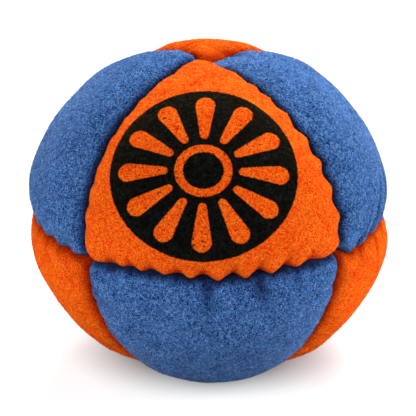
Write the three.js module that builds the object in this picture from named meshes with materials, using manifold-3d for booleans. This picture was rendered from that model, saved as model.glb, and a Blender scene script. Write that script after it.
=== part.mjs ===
// A hand-sewn footbag of eight three-cornered suede panels.
//
// The panels are the octants of a ball. Their seams lie on three great circles that cross at
// right angles: one level seam round the middle and two upright ones that cross at the top and
// at the bottom. Each panel is crowned in its middle, rolls in at its edges and ends in a
// seam allowance that hangs inside the bag. A thread weaves through the two allowances of
// every seam, and plastic pellets fill the space that the allowances leave.
//
// Millimetres, +Z up, the printed panel faces -Y. The origin is on the resting face, under the
// middle of the bag.

import * as THREE from 'three';
import { mergeVertices } from 'three/addons/utils/BufferGeometryUtils.js';
import Module from 'manifold-3d';

const wasm = await Module();
wasm.setup();

// Sizes of the bag as it stands
const ballRadius = 26.8;            // from the middle to a panel's crown, before the bag sags
const ballRise = 26.2;              // the same, straight up
const waistBulgeHeight = 0.8;       // how much further the bag reaches round its middle
const restDepth = 24.0;             // from the middle down to the resting face
const restBlendHeight = 0.25;       // over which the flat of the resting face fades out
const restSnapHeight = 0.02;        // points this near to the resting face lie on it
const crownHeight = 0.7;            // how far a panel's middle stands above its edges

// Sizes of a panel
const suedeThickness = 0.9;
const edgeRollRadius = 2.0;         // over which the outer face turns in to the seam
const cornerRadius = 2.5;           // of a panel's three corners, seen from outside
const allowanceCornerRadius = 1.3;  // the same on the allowance, where four panels close up
const seamAllowance = 3.0;          // width of the edge that hangs inside
const seamGap = 0.3;                // between the two faces that are sewn together
const lobesPerSeam = 10;            // puffs between the stitches of one seam
const lobeSwayWidth = 0.4;          // how far the seam line swings at each puff

// Sizes of the sewing
const threadDiameter = 0.6;
const threadClearance = 0.3;        // between a thread and the suede that it lies on
const holeClearance = 0.35;         // round a thread in its stitch hole
const knotDiameter = 1.0;
const threadSides = 4;
const threadStepsPerStitch = 4;
const squarenessShare = 0.2;        // how squarely a thread turns into its holes

// Sizes of the fill
const fillClearance = 1.0;          // to the suede above it
const grooveClearance = 0.4;        // to the allowances and knots in its grooves

// Points nearer than this to each other are one
const mergeDistance = 1e-4;

// How a panel's mesh is shared out
const sidesPerPanel = 3;
const edgeColumns = lobesPerSeam * 2 * sidesPerPanel;
const hemColumns = lobesPerSeam * sidesPerPanel;
const crownColumnShares = { outer: 0.5, inner: 0.3 };
const crownRingShares = { outer: 0.2, inner: 0.55 };
const rollMiddleShare = 0.5;
const fillColumns = 6 * sidesPerPanel;
const fillCrownColumns = 3 * sidesPerPanel;

// How each stretch of a panel's edge rounds its corners and follows the swing of the seam
const bends = {
  crownEdge: { round: cornerRadius, swayShare: 0.4 },
  roll: { round: cornerRadius, swayShare: 1 },
  fold: { round: allowanceCornerRadius, swayShare: 0.6 },
  allowance: { round: allowanceCornerRadius, swayShare: 0 },
};

// The stretch of thread past its first and last hole, in stitches
const threadEndShare = 1 / threadStepsPerStitch;
const firstStitch = 1 - threadEndShare;
const lastStitch = lobesPerSeam - 1 + threadEndShare;

const rightAngle = Math.PI / 2;
const halfGap = seamGap / 2;
const holeHalf = (threadDiameter / 2 + holeClearance) * Math.SQRT2;
const stitchDepth = edgeRollRadius + holeHalf;
const hemDepth = edgeRollRadius + seamAllowance;
const threadReach = halfGap + suedeThickness + threadClearance + threadDiameter / 2;
const knotReach = halfGap + suedeThickness + threadClearance + knotDiameter / 2;

const topCorner = new THREE.Vector3(0, 0, 1);
const bottomCorner = new THREE.Vector3(0, 0, -1);
const waistCorners = [-135, -45, 45, 135].map((degrees) => {
  const turn = THREE.MathUtils.degToRad(degrees);
  return new THREE.Vector3(Math.cos(turn), Math.sin(turn), 0);
});
const waistCornerNames = ['front_left', 'front_right', 'back_right', 'back_left'];
const quarterNames = ['front', 'right', 'back', 'left'];

const orangeSuede = { color: 0xee621b, roughness: 0.95, metalness: 0 };
const blueSuede = { color: 0x44689f, roughness: 0.95, metalness: 0 };
const sewingThread = { color: 0x1d2233, roughness: 0.8, metalness: 0 };
const pellets = { color: 0xd8d4c8, roughness: 0.6, metalness: 0 };

// How far the outer face lies from the middle of the bag in one direction: fullest in the
// middle of a panel, lower by the crown along a seam, and bulged out round the waist.
function outerRadius(direction) {
  const overSeams = [topCorner, waistCorners[0], waistCorners[1]];
  const product = overSeams.reduce((value, axis) => value * Math.abs(direction.dot(axis)), 1);
  const fullness = Math.min(1, product * sidesPerPanel * Math.sqrt(sidesPerPanel));
  const levelness = 1 - direction.z ** 2;
  return ballRadius + waistBulgeHeight * levelness ** 3 - crownHeight * (1 - fullness) ** 2;
}

// Puts a point of the round bag where it is on the standing bag: pressed down to its height,
// and lifted, with all that lies above it, where the outer face would pass the resting face.
function settle(point) {
  const direction = point.clone().normalize();
  const pressed = ballRise / ballRadius;
  const outerHeight = restDepth + outerRadius(direction) * direction.z * pressed;
  const sunk = restBlendHeight - outerHeight;
  let lift = 0;
  if (outerHeight < -restBlendHeight) lift = -outerHeight;
  else if (sunk > 0) lift = sunk ** 2 / (4 * restBlendHeight);
  const height = restDepth + point.z * pressed + lift;
  return new THREE.Vector3(point.x, point.y, Math.abs(height) < restSnapHeight ? 0 : height);
}

// A point beside a seam that runs from one corner to the next: so far along it as an angle, so
// far to its side, and so far from the middle of the bag.
function besideSeam(from, to, side, angle, lateral, radius) {
  const inPlane = Math.sqrt(radius ** 2 - lateral ** 2);
  return new THREE.Vector3()
    .addScaledVector(from, inPlane * Math.cos(angle))
    .addScaledVector(to, inPlane * Math.sin(angle))
    .addScaledVector(side, lateral);
}

// The three sides of a panel, each with its inward direction.
function panelSides(corners) {
  return corners.map((from, index) => ({
    from,
    to: corners[(index + 1) % sidesPerPanel],
    side: corners[(index + 2) % sidesPerPanel],
  }));
}

// One point of the line that keeps a distance to a panel's seams and rounds its corners. The
// turn counts sides, so its whole part is the side and the rest how far along it.
function besideEdge(sides, turn, lateral, depth, round) {
  const sideIndex = Math.floor(turn) % sidesPerPanel;
  const share = turn - Math.floor(turn);
  const { from, to, side } = sides[sideIndex];
  const nearEnd = share > 0.5;
  let angle = (nearEnd ? 1 - share : share) * rightAngle;
  let aside = lateral;
  if (angle * ballRadius < round) {
    const swing = (1 - angle * ballRadius / round) * rightAngle / 2;
    angle = (round - (round - lateral) * Math.sin(swing)) / ballRadius;
    aside = round - (round - lateral) * Math.cos(swing);
  }
  if (nearEnd) angle = rightAngle - angle;
  const direction = besideSeam(from, to, side, angle, aside, ballRadius).normalize();
  return besideSeam(from, to, side, angle, aside, outerRadius(direction) - depth);
}

// The swing of the seam line at one place, towards the blue panel between two stitches and
// towards the orange one at a stitch, fading out at the corners.
function seamSway(sides, turn, lean) {
  const share = turn - Math.floor(turn);
  const fromCorner = Math.min(share, 1 - share) * lobesPerSeam;
  const wave = -Math.cos(share * lobesPerSeam * Math.PI * 2);
  const amount = lobeSwayWidth * wave * Math.min(1, fromCorner) * lean;
  return sides[Math.floor(turn) % sidesPerPanel].side.clone().multiplyScalar(amount);
}

// Collects points and triangles of one closed skin.
class Skin {
  constructor() {
    this.points = [];
    this.triangles = [];
  }

  add(point) {
    this.points.push(settle(point));
    return this.points.length - 1;
  }

  // Joins two closed rings that start at the same turn and may differ in their point counts.
  band(outside, inside) {
    let a = 0;
    let b = 0;
    while (a < outside.length || b < inside.length) {
      const outsideFirst = (a + 1) * inside.length <= (b + 1) * outside.length;
      const here = outside[a % outside.length];
      const there = inside[b % inside.length];
      if (outsideFirst) {
        a += 1;
        this.triangles.push([here, outside[a % outside.length], there]);
      } else {
        b += 1;
        this.triangles.push([here, inside[b % inside.length], there]);
      }
    }
  }

  // Closes a ring with a fan about one point.
  fan(ring, centre) {
    ring.forEach((here, index) => {
      this.triangles.push([here, ring[(index + 1) % ring.length], centre]);
    });
  }

  // Joins two rings of equal counts and leaves a four-cornered hole about each column that
  // has an entry in holes.
  piercedBand(outside, inside, holes) {
    outside.forEach((here, column) => {
      const next = (column + 1) % outside.length;
      const [ahead, below, belowAhead] = [outside[next], inside[column], inside[next]];
      if (holes[column]) {
        const edge = holes[column].after;
        this.triangles.push([here, ahead, edge], [edge, ahead, belowAhead], [edge, belowAhead, below]);
      } else if (holes[next]) {
        const edge = holes[next].before;
        this.triangles.push([here, ahead, edge], [here, edge, below], [edge, belowAhead, below]);
      } else {
        this.triangles.push([here, ahead, below], [ahead, belowAhead, below]);
      }
    });
  }

  // Lines a hole between its outline on one face and the same outline on the other.
  holeWall(face, back) {
    face.forEach((here, index) => {
      const next = (index + 1) % face.length;
      this.triangles.push([here, face[next], back[index]], [face[next], back[next], back[index]]);
    });
  }

  toGeometry(flipped) {
    const geometry = new THREE.BufferGeometry();
    const flat = this.points.flatMap((point) => point.toArray());
    geometry.setAttribute('position', new THREE.Float32BufferAttribute(flat, 3));
    geometry.setIndex(this.triangles.flatMap(([a, b, c]) => (flipped ? [a, c, b] : [a, b, c])));
    return geometry;
  }
}

// One suede panel between three corners of the bag. Its lean is 1 where its lobes reach over
// the neighbours and -1 where it makes room for theirs.
function makePanel(corners, lean) {
  const skin = new Skin();
  const sides = panelSides(corners);
  const middle = corners.reduce((sum, corner) => sum.add(corner), new THREE.Vector3()).normalize();
  const crownEdge = halfGap + edgeRollRadius;

  const edgeRing = (count, lateral, depth, bend) => Array.from({ length: count }, (_, index) => {
    const turn = index * sidesPerPanel / count;
    const sway = seamSway(sides, turn, -lean * bend.swayShare);
    return skin.add(besideEdge(sides, turn, lateral, depth, bend.round).add(sway));
  });
  const crownRing = (columnShare, ringShare, depth) => {
    const count = sidesPerPanel * Math.round(edgeColumns * columnShare / sidesPerPanel);
    return Array.from({ length: count }, (_, index) => {
      const turn = index * sidesPerPanel / count;
      const direction = besideEdge(sides, turn, crownEdge, 0, cornerRadius).normalize();
      direction.lerp(middle, ringShare).normalize();
      return skin.add(direction.multiplyScalar(outerRadius(direction) - depth));
    });
  };
  const holesBeside = (lateral) => {
    const holes = {};
    sides.forEach(({ from, to, side }, sideIndex) => {
      for (let stitch = 1; stitch < lobesPerSeam; stitch += 1) {
        const turn = stitch / lobesPerSeam;
        const edgePoint = besideEdge(sides, sideIndex + turn, lateral, stitchDepth, allowanceCornerRadius);
        const radius = edgePoint.length();
        const [before, after] = [-1, 1].map((way) => {
          const angle = turn * rightAngle + way * holeHalf / radius;
          return skin.add(besideSeam(from, to, side, angle, lateral, radius));
        });
        holes[(sideIndex * lobesPerSeam + stitch) * 2] = { before, after };
      }
    });
    return holes;
  };

  // The outer face, from its middle over the roll and down to the free edge
  const rollMiddle = edgeRollRadius * (1 - Math.cos(rightAngle * rollMiddleShare));
  const faceMiddle = skin.add(middle.clone().multiplyScalar(outerRadius(middle)));
  const faceInner = crownRing(crownColumnShares.inner, crownRingShares.inner, 0);
  const faceOuter = crownRing(crownColumnShares.outer, crownRingShares.outer, 0);
  const faceEdge = edgeRing(edgeColumns, crownEdge, 0, bends.crownEdge);
  const faceRoll = edgeRing(edgeColumns, halfGap + rollMiddle, rollMiddle, bends.roll);
  const faceFold = edgeRing(edgeColumns, halfGap, edgeRollRadius, bends.fold);
  const faceUnderHoles = edgeRing(edgeColumns, halfGap, edgeRollRadius + holeHalf * 2, bends.allowance);
  const faceHem = edgeRing(hemColumns, halfGap, hemDepth, bends.allowance);
  const faceHoles = holesBeside(halfGap);
  skin.fan(faceInner, faceMiddle);
  skin.band(faceOuter, faceInner);
  skin.band(faceEdge, faceOuter);
  skin.band(faceRoll, faceEdge);
  skin.band(faceFold, faceRoll);
  skin.piercedBand(faceUnderHoles, faceFold, faceHoles);
  skin.band(faceHem, faceUnderHoles);

  // The flesh side, one thickness in
  const inside = halfGap + suedeThickness;
  const backRadius = outerRadius(middle) - suedeThickness;
  const backMiddle = skin.add(middle.clone().multiplyScalar(backRadius));
  const backInner = crownRing(crownColumnShares.inner, crownRingShares.inner, suedeThickness);
  const backEdge = crownRing(crownColumnShares.outer, 0, suedeThickness);
  const backFold = edgeRing(edgeColumns, inside, edgeRollRadius, bends.fold);
  const backUnderHoles = edgeRing(edgeColumns, inside, edgeRollRadius + holeHalf * 2, bends.allowance);
  const backHem = edgeRing(hemColumns, inside, hemDepth, bends.allowance);
  const backHoles = holesBeside(inside);
  skin.band(backHem, faceHem);
  skin.band(backUnderHoles, backHem);
  skin.piercedBand(backFold, backUnderHoles, backHoles);
  skin.band(backEdge, backFold);
  skin.band(backInner, backEdge);
  skin.fan([...backInner].reverse(), backMiddle);

  Object.keys(faceHoles).forEach((column) => {
    const outline = (folds, unders, holes) => (
      [folds[column], holes[column].before, unders[column], holes[column].after]);
    const onFace = outline(faceFold, faceUnderHoles, faceHoles);
    const onBack = outline(backFold, backUnderHoles, backHoles);
    skin.holeWall(onFace, onBack);
  });

  const handed = corners[0].clone().cross(corners[1]).dot(corners[2]);
  return skin.toGeometry(handed < 0);
}

// The line that a seam's thread follows: across the seam at each stitch hole, and along the
// allowance on either side by turns.
class StitchLine extends THREE.Curve {
  constructor(from, to) {
    super();
    this.from = from;
    this.to = to;
    this.side = from.clone().cross(to);
  }

  place(stitch, lateral) {
    const along = stitch - Math.sin(stitch * Math.PI * 2) / (Math.PI * 2);
    const angle = along / lobesPerSeam * rightAngle;
    const direction = besideSeam(this.from, this.to, this.side, angle, 0, ballRadius).normalize();
    const radius = outerRadius(direction) - stitchDepth;
    return settle(besideSeam(this.from, this.to, this.side, angle, lateral, radius));
  }

  getPoint(t) {
    const stitch = firstStitch + (lastStitch - firstStitch) * t;
    const swing = Math.sin(stitch * Math.PI) * (1 + squarenessShare);
    const squaring = Math.sin(stitch * Math.PI * 3) * squarenessShare;
    return this.place(stitch, threadReach * (swing + squaring));
  }

  // Steps keep to the stitches and not to the thread's length, so that one lies in every hole.
  getUtoTmapping(u) {
    return u;
  }

  knotPlaces() {
    return [firstStitch, lastStitch].map((stitch) => {
      const hand = Math.sign(Math.sin(stitch * Math.PI));
      return this.place(stitch, knotReach * hand);
    });
  }
}

function toManifold(geometry) {
  const bare = geometry.clone();
  bare.deleteAttribute('normal');
  bare.deleteAttribute('uv');
  const merged = mergeVertices(bare);
  return new wasm.Manifold(new wasm.Mesh({
    numProp: 3,
    vertProperties: new Float32Array(merged.attributes.position.array),
    triVerts: new Uint32Array(merged.index.array),
  }));
}

function fromManifold(solid) {
  const mesh = solid.getMesh();
  const geometry = new THREE.BufferGeometry();
  geometry.setAttribute('position', new THREE.BufferAttribute(mesh.vertProperties, 3));
  geometry.setIndex(new THREE.BufferAttribute(mesh.triVerts, 1));
  return geometry;
}

// The thread of one seam, with a knot at either end.
function makeSeamThread(from, to) {
  const line = new StitchLine(from, to);
  const section = new THREE.Shape();
  section.absarc(0, 0, threadDiameter / 2, 0, Math.PI * 2);
  const tube = new THREE.ExtrudeGeometry(new THREE.Shape(section.getPoints(threadSides / 2)), {
    extrudePath: line,
    steps: Math.round((lastStitch - firstStitch) * threadStepsPerStitch),
    bevelEnabled: false,
  });
  const knots = line.knotPlaces().map((place) => {
    const knot = new THREE.IcosahedronGeometry(knotDiameter / 2);
    return toManifold(knot.translate(place.x, place.y, place.z));
  });
  return fromManifold(knots.reduce((solid, knot) => solid.add(knot), toManifold(tube)));
}

// The pellets, as the one mass that they settle into: eight lobes under the panels, with
// grooves between them where the allowances and threads hang.
function makeFill() {
  const skin = new Skin();
  const grooveHalf = knotReach + knotDiameter / 2 + grooveClearance;
  const lobeDepth = suedeThickness + fillClearance;
  const grooveDepth = hemDepth + grooveClearance;
  const lobeRound = grooveHalf + allowanceCornerRadius;
  [topCorner, bottomCorner].forEach((pole) => {
    waistCorners.forEach((corner, index) => {
      const corners = [pole, corner, waistCorners[(index + 1) % waistCorners.length]];
      if (pole === bottomCorner) corners.reverse();
      const sides = panelSides(corners);
      const middle = corners.reduce((sum, each) => sum.add(each), new THREE.Vector3()).normalize();
      const ring = (count, ringShare, lateral, depth, round) => (
        Array.from({ length: count }, (_, column) => {
          const point = besideEdge(sides, column * sidesPerPanel / count, lateral, depth, round);
          const direction = point.clone().normalize().lerp(middle, ringShare).normalize();
          if (ringShare > 0) point.copy(direction).multiplyScalar(outerRadius(direction) - depth);
          return skin.add(point);
        }));
      const lobeRadius = outerRadius(middle) - lobeDepth;
      const lobeMiddle = skin.add(middle.clone().multiplyScalar(lobeRadius));
      const lobeInner = ring(fillCrownColumns, crownRingShares.inner, grooveHalf, lobeDepth, lobeRound);
      const lobeEdge = ring(fillColumns, 0, grooveHalf, lobeDepth, lobeRound);
      const grooveEdge = ring(fillColumns, 0, grooveHalf, grooveDepth, lobeRound);
      const grooveMiddle = ring(fillColumns, 0, 0, grooveDepth, 0);
      skin.fan(lobeInner, lobeMiddle);
      skin.band(lobeEdge, lobeInner);
      skin.band(grooveEdge, lobeEdge);
      skin.band(grooveMiddle, grooveEdge);
    });
  });
  return mergeVertices(skin.toGeometry(false), mergeDistance);
}

function addPiece(group, name, geometry, material) {
  const piece = new THREE.Mesh(geometry, new THREE.MeshStandardMaterial(material));
  piece.name = name;
  group.add(piece);
}

function makeFootbag() {
  const bag = new THREE.Group();
  const levels = [['upper', topCorner], ['lower', bottomCorner]];
  levels.forEach(([level, pole], levelIndex) => {
    waistCorners.forEach((corner, index) => {
      const corners = [pole, corner, waistCorners[(index + 1) % waistCorners.length]];
      const isOrange = (index + levelIndex) % 2 === 0;
      const suede = isOrange ? orangeSuede : blueSuede;
      addPiece(bag, `${level}_${quarterNames[index]}_panel`, makePanel(corners, isOrange ? 1 : -1), suede);
    });
    waistCorners.forEach((corner, index) => {
      const name = `${level}_${waistCornerNames[index]}_thread`;
      addPiece(bag, name, makeSeamThread(pole, corner), sewingThread);
    });
  });
  waistCorners.forEach((corner, index) => {
    const next = waistCorners[(index + 1) % waistCorners.length];
    addPiece(bag, `waist_${quarterNames[index]}_thread`, makeSeamThread(corner, next), sewingThread);
  });
  addPiece(bag, 'pellet_fill', makeFill(), pellets);
  return bag;
}

export default makeFootbag();
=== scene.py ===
# %% [markdown]
# # A footbag of eight suede panels
#
# A footbag is a small ball that is sewn inside out, turned, filled with plastic pellets and closed.
# This one has eight three-cornered panels of napped suede, four orange and four blue in turn, so
# that every seam joins one colour to the other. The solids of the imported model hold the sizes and
# the inside. This lesson makes what the eye sees: full panels that roll in at their seams, the
# puffs and puckers that the stitches leave, the nap, the print and the light.

# %% Load the frame
import math

import bmesh
import bpy
import numpy as np
from mathutils import Matrix, Vector, noise


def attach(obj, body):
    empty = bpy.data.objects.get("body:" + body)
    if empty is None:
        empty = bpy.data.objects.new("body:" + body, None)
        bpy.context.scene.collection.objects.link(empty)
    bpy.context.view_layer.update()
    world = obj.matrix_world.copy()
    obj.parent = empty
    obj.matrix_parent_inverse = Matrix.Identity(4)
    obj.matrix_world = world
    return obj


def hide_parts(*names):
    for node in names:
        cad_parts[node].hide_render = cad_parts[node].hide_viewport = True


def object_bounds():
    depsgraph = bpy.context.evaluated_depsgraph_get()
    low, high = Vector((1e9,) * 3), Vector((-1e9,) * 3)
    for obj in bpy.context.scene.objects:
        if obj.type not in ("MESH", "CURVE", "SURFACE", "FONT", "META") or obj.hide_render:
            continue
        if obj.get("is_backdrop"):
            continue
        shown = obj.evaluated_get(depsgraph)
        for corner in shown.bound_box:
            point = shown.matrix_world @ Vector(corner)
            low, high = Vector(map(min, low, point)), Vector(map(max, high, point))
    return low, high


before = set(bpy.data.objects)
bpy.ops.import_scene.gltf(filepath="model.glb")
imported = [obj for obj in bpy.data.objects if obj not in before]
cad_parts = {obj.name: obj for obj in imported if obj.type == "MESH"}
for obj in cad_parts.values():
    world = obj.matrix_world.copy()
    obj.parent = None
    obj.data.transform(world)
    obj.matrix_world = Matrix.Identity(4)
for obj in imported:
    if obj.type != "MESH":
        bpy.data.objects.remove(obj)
cad_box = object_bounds()

# %% [markdown]
# ## The ball
#
# Three great circles cut the ball into octants: one level seam round the waist and two upright
# ones that cross at the top and at the bottom. A panel could be modelled once and turned seven
# times, but the bag is heavier at its foot and each seam puckers its own way. So every panel is
# worked out from the same few sizes, in the ball's own round shape, and the whole is pressed down
# onto its resting face at the end. The sizes are those of the solids.

# %% Sizes of the ball
MM = 0.001
RIGHT_ANGLE = math.pi / 2

ball_radius = 26.8 * MM
ball_rise = 26.2 * MM
waist_bulge = 0.8 * MM
rest_depth = 24.0 * MM
rest_blend = 0.25 * MM
crown_height = 0.7 * MM
lobes_per_seam = 10
stitch_pitch = ball_radius * RIGHT_ANGLE / lobes_per_seam

top = np.array([0.0, 0.0, 1.0])
waist_corners = [
    np.array([math.cos(math.radians(turn)), math.sin(math.radians(turn)), 0.0])
    for turn in (-135, -45, 45, 135)
]
waist_corner_names = ["front_left", "front_right", "back_right", "back_left"]
quarter_names = ["front", "right", "back", "left"]
print("one stitch every", round(stitch_pitch / MM, 2), "mm")


def unit(vectors):
    """The same directions at length one."""
    return vectors / np.linalg.norm(vectors, axis=-1, keepdims=True)


def outer_radius(directions):
    """How far the outer face lies from the middle of the bag, lower by the crown along seams."""
    fullness = np.ones(len(directions))
    for axis in (top, waist_corners[0], waist_corners[1]):
        fullness = fullness * np.abs(directions @ axis)
    # In the middle of a panel, all three shares are one by the square root of three
    fullness = np.minimum(1, fullness * 3 * math.sqrt(3))
    levelness = 1 - directions[:, 2] ** 2
    return ball_radius + waist_bulge * levelness**3 - crown_height * (1 - fullness) ** 2


def settle(points):
    """Presses the round bag down to its height and flattens it where it stands."""
    directions = unit(points)
    pressed = ball_rise / ball_radius
    outer_height = rest_depth + outer_radius(directions) * directions[:, 2] * pressed
    # A parabola leads from the round side over to the flat
    sunk = np.maximum(0, rest_blend - outer_height)
    lift = np.where(outer_height < -rest_blend, -outer_height, sunk**2 / (4 * rest_blend))
    settled = points.copy()
    settled[:, 2] = np.maximum(0, rest_depth + points[:, 2] * pressed + lift)
    return settled

# %% [markdown]
# ## The camera
#
# The photograph looks at the printed panel from a little above, with a long lens, so the ball
# hardly bulges towards the viewer. The camera is turned to that view before anything is made,
# because every later choice is judged through it.

# %% Place the camera
camera_azimuth = math.radians(-2.1)
camera_elevation = math.radians(22.45)
camera_roll = math.radians(1.0)
camera_distance = 0.33
camera_target = Vector((0, 0, 24.1 * MM))
# The lens and the sensor are in millimetres, as a camera has them in Blender
lens_length = 185.7
sensor_width = 36
nearest_seen = 0.01


def outward_at(azimuth, elevation):
    """The direction out of the ball, turned from the front and raised from the level."""
    return Vector((math.sin(azimuth) * math.cos(elevation),
                   -math.cos(azimuth) * math.cos(elevation), math.sin(elevation)))


def add_object(name, data):
    """A new object of the scene, at the origin."""
    made = bpy.data.objects.new(name, data)
    bpy.context.scene.collection.objects.link(made)
    return made


camera_back = outward_at(camera_azimuth, camera_elevation)
camera = add_object("camera", bpy.data.cameras.new("camera"))
camera.data.lens = lens_length
camera.data.sensor_width = sensor_width
camera.data.clip_start = nearest_seen
camera.location = camera_target + camera_back * camera_distance
look = (-camera_back).to_track_quat("-Z", "Y").to_matrix()
camera.rotation_euler = (look @ Matrix.Rotation(camera_roll, 3, "Z")).to_euler()
bpy.context.scene.camera = camera
print("camera at", [round(value, 3) for value in camera.location])

# %% [markdown]
# ## Seams and stitches
#
# A footbag is sewn by hand, so no two stitches are alike. Where the thread passes, both panels
# are pulled into a rounded notch and a short crease runs away from it; between two stitches the
# suede puffs up into a tip. In most seams the tips of the orange panel lap over the blue one, at
# the sides of the waist the blue ones lap over orange, and some seams bow to one side as well.
# Each seam gets a table of its own stitch places, laps, bow and creases. The seams that face the
# camera have theirs listed one by one, and a seeded generator fills in the others. Both panels of
# a seam read the same table, so they fit each other.

# %% Describe one sewn seam
bow_window = 1.5
bow_steps = 20
tip_softness = 0.12

# How far hand sewing strays: a stitch from its even place, counted in stitches, and a lap from
# the table's, as a share of it
stray_stitch = 0.2
stray_lap = (0.55, 1.3)
# The same for the crease at a stitch: its place in stitches, its depth as a share of the
# table's, its length and width in millimetres and its slant
stray_crease = {"place": (-0.12, 0.3), "depth": (0.4, 1.25), "length": (0.9, 3.2),
                "width": (0.4, 0.8), "slant": (-0.25, 0.25)}


class Seam:
    """One sewn line between two corners of the bag, with what the stitches do along it."""

    def __init__(self, name, start, end, toward_blue, seed, table):
        draw = np.random.default_rng(seed)
        self.name = name
        self.start = start
        self.end = end
        self.toward_blue = toward_blue
        evenly = np.arange(lobes_per_seam + 1, dtype=float)
        uneven = draw.uniform(-stray_stitch, stray_stitch, lobes_per_seam + 1)
        uneven[[0, -1]] = 0
        self.stitches = np.array(table.get("stitches", evenly + uneven), dtype=float)
        count = len(self.stitches)
        drawn_laps = table["lap"] * draw.uniform(*stray_lap, count - 1)
        self.laps = np.array(table.get("laps", drawn_laps)) * MM
        self.bows = self.smooth_bow(table["bow"])
        self.middles = (self.stitches[1:] + self.stitches[:-1]) / 2
        self.fullness = table["puffs"]
        # Notch, shade and the reaches set the painted shade in the seam and its notches, not its
        # shape
        self.notch = table["notch"]
        self.shade = table["shade"]
        self.reach = {"blue": table["reach"] * MM, "orange": table["orange_shade_reach"] * MM}
        self.creases = {}
        for colour in ("orange", "blue"):
            drawn = {key: draw.uniform(*limits, count) for key, limits in stray_crease.items()}
            self.creases[colour] = [self.stitches + drawn["place"],
                                    table["crease"] * drawn["depth"] * MM,
                                    drawn["length"] * MM, drawn["width"] * MM, drawn["slant"]]

    def smooth_bow(self, amounts):
        """A finely spaced table of the bow with its kinks rounded off."""
        fine = np.linspace(-1, lobes_per_seam + 1, (lobes_per_seam + 2) * bow_steps + 1)
        window = np.hanning(int(bow_window * bow_steps) + 2)
        rough = np.interp(fine, np.arange(lobes_per_seam + 1), np.array(amounts) * MM)
        return fine, np.convolve(rough, window / window.sum(), mode="same")

    def along(self, points):
        """Where points lie along the seam, counted in stitches."""
        angle = np.arctan2(points @ self.end, points @ self.start)
        return angle / RIGHT_ANGLE * lobes_per_seam

    def puff(self, turns):
        """0 in the rounded notch at every stitch and 1 at the tip between two of them."""
        phase = np.interp(turns, self.stitches, np.arange(len(self.stitches)))
        away = np.sqrt(np.cos(phase * math.pi) ** 2 + tip_softness)
        at_notch = math.sqrt(1 + tip_softness)
        return (at_notch - away) / (at_notch - math.sqrt(tip_softness))

    def lap(self, turns):
        """How far the seam line swings towards the blue panel: out at a puff, back at a stitch."""
        index = np.clip(np.searchsorted(self.stitches, turns) - 1, 0, len(self.laps) - 1)
        fade = np.clip(np.minimum(turns, lobes_per_seam - turns), 0, 1)
        middle = np.interp(turns, self.middles, self.laps)
        return (2 * self.laps[index] * self.puff(turns) - middle) * fade

    def bow(self, turns):
        """How far the whole seam lies to the side of blue."""
        return np.interp(turns, *self.bows)


print("a stitch strays by up to", round(stray_stitch * stitch_pitch / MM, 2), "mm")

# %% Write a table for each seam
# Laps, bows, creases and reaches in millimetres, laps and bows towards blue; stitches counted
# from the pole or from the end that is further left as seen from outside. Notch, shade and the
# reaches set the painted shade in a seam: how dark it is at the notches and along the seam, and
# how far it reaches onto the blue and the orange side
usual_table = {"lap": 0.24, "crease": 0.24, "puffs": 0.7, "notch": 0.3, "shade": 0.85,
               "reach": 0.62, "orange_shade_reach": 0.55, "bow": [0] * (lobes_per_seam + 1)}
waist_table = {**usual_table, "lap": 0.4, "crease": 0.32, "puffs": 1}
back_bow = [0, 0.4, 0.7, 0.8, 0.7, 0.5, 0.3, 0.1, 0, 0, 0]
hand_tables = {
    "waist_front": {
        "stitches": [0, 1.25, 2.04, 2.8, 3.75, 4.64, 5.69, 6.6, 7.6, 8.58, 10],
        "laps": [0.12, 0.12, 0.24, 0.22, 0.37, 0.47, 0.52, 0.45, 0.28, 0.25],
        "crease": 0.12, "puffs": 0.7, "notch": 1.6, "shade": 1, "reach": 0.7,
        "bow": [0, -0.02, -0.25, -0.2, -0.05, 0.2, -0.05, -0.42, -0.58, -0.55, -0.3],
    },
    "waist_left": {"lap": -0.16, "crease": 0.26, "puffs": 0.8, "notch": 0.7, "orange_shade_reach": 1.1,
                   "bow": [0, 0, 0, 0, 0, -0.2, -0.4, -0.35, -0.35, -0.2, 0]},
    "waist_right": {
        "stitches": [0, 1.1, 1.95, 3, 4, 5, 6, 7, 8, 9, 10],
        "laps": [-0.7, -0.15, -0.25, -0.3, -0.3, -0.3, -0.3, -0.3, -0.3, -0.3],
        "crease": 0.25, "puffs": 0.6, "notch": 0.5, "orange_shade_reach": 0.85,
        "bow": [0, -0.8, 0.25, 0.2, 0.15, 0, -0.1, 0, 0, 0, 0],
    },
    "upper_front_left": {
        "lap": 0.1, "crease": 0.16, "puffs": 0.15, "shade": 0.9, "reach": 0.8,
        "bow": [0, 0.2, 0.6, 1.2, 1.4, 1.7, 1.7, 1.5, 1.3, 0.7, 0],
    },
    "upper_front_right": {
        "stitches": [0, 1.2, 2.3, 3, 3.7, 4.82, 5.9, 6.85, 7.88, 9.12, 10],
        "laps": [0.08, 0.08, 0.1, 0.1, 0.26, 0.36, 0.33, 0.26, 0.45, 0.14],
        "crease": 0.1, "puffs": 0.5, "notch": 0.5, "shade": 0.75,
        "bow": [0, -0.5, -1.1, -0.8, -0.25, 0.05, 0.7, 0.9, 1.2, 0.85, 0],
    },
    "lower_front_left": {"bow": [0, 0.2, 0.2, 0.2, 0.1, 0.3, 0.65, 0.7, 0.3, 0.5, 0],
                         "orange_shade_reach": 1.25, "lap": 0.16},
    "lower_front_right": {"bow": [0, -0.1, -0.5, -0.9, -0.95, -0.8, -0.6, -0.3, -0.2, -0.35, 0],
                          "orange_shade_reach": 1.0, "lap": 0.16},
    "upper_back_left": {"crease": 0.45, "orange_shade_reach": 1.2, "bow": back_bow},
    "upper_back_right": {"crease": 0.45, "orange_shade_reach": 1.1, "bow": back_bow},
}


def is_orange(quarter, is_lower):
    """Whether the panel is orange: the colours take turns round the bag and across its waist."""
    return (quarter + is_lower) % 2 == 0


def table_for(name, plain):
    """The plain table, with what the seam's own table says in its place."""
    return {**plain, **hand_tables.get(name, {})}


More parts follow.
